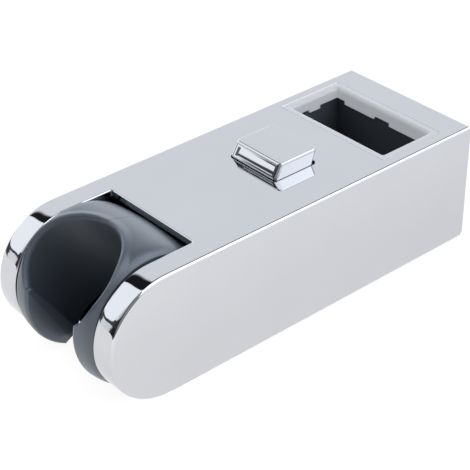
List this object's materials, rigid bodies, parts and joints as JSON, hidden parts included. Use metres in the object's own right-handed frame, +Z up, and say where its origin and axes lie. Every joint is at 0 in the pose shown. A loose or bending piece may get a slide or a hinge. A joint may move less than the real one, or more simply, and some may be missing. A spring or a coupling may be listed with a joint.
{
  "type": "shower rail slider",
  "caption": "Chromed slider for a flat shower rail, with a press button that frees its brake and a tilting grey holder with a conical bore and hose slot.",
  "frame": {"origin": "middle of the part's bounding box, on the flat underside that faces down the rail", "axes": "+Z up along the rail, +X from the holder towards the rail end, +Y to the left of the body seen from the holder's end"},
  "size_m": [0.1096, 0.04, 0.0338],
  "materials": {
    "chrome": "mirror-bright plating on a moulded shell",
    "grey_plastic": "satin moulded grey",
    "white_plastic": "smooth moulded white",
    "dark_plastic": "moulded, blue-black",
    "natural_acetal": "moulded, off-white",
    "rubber": "black, matt",
    "steel": "bright drawn wire and zinc-plated screws"
  },
  "bodies": {
    "slider_body": {"housing": "chrome", "base_cover": "chrome", "cover_screw_1": "steel", "cover_screw_2": "steel", "cover_screw_3": "steel", "cover_screw_4": "steel", "top_liner": "white_plastic", "bottom_liner": "white_plastic", "inner_frame": "dark_plastic", "button_spring": "steel", "brake_spring": "steel", "pivot_bush_left": "natural_acetal", "pivot_bush_right": "natural_acetal", "friction_ring_left": "rubber", "friction_ring_right": "rubber"},
    "holder": {"holder": "grey_plastic"},
    "button": {"push_button": "chrome"},
    "brake": {"brake_slide": "natural_acetal", "brake_pad": "rubber"}
  },
  "joints": [
    {"name": "holder_tilt", "type": "hinge", "parent": "slider_body", "child": "holder", "pos_m": [-0.03769, 0, 0.0151], "axis": [0, 1, 0], "range_deg": [-15, 30]},
    {"name": "button_press", "type": "slide", "parent": "slider_body", "child": "button", "axis": [0, 0, -1], "range_m": [0, 0.0025], "stiffness_N_per_m": 600, "springref_m": -0.003, "deforming": ["button_spring"]},
    {"name": "brake_release", "type": "slide", "parent": "slider_body", "child": "brake", "axis": [-1, 0, 0], "range_m": [0, 0.00125], "stiffness_N_per_m": 1500, "springref_m": -0.004, "deforming": ["brake_spring"]}
  ],
  "couplings": [
    {"joint": "brake_release", "follows": "button_press", "ratio": 0.5}
  ]
}
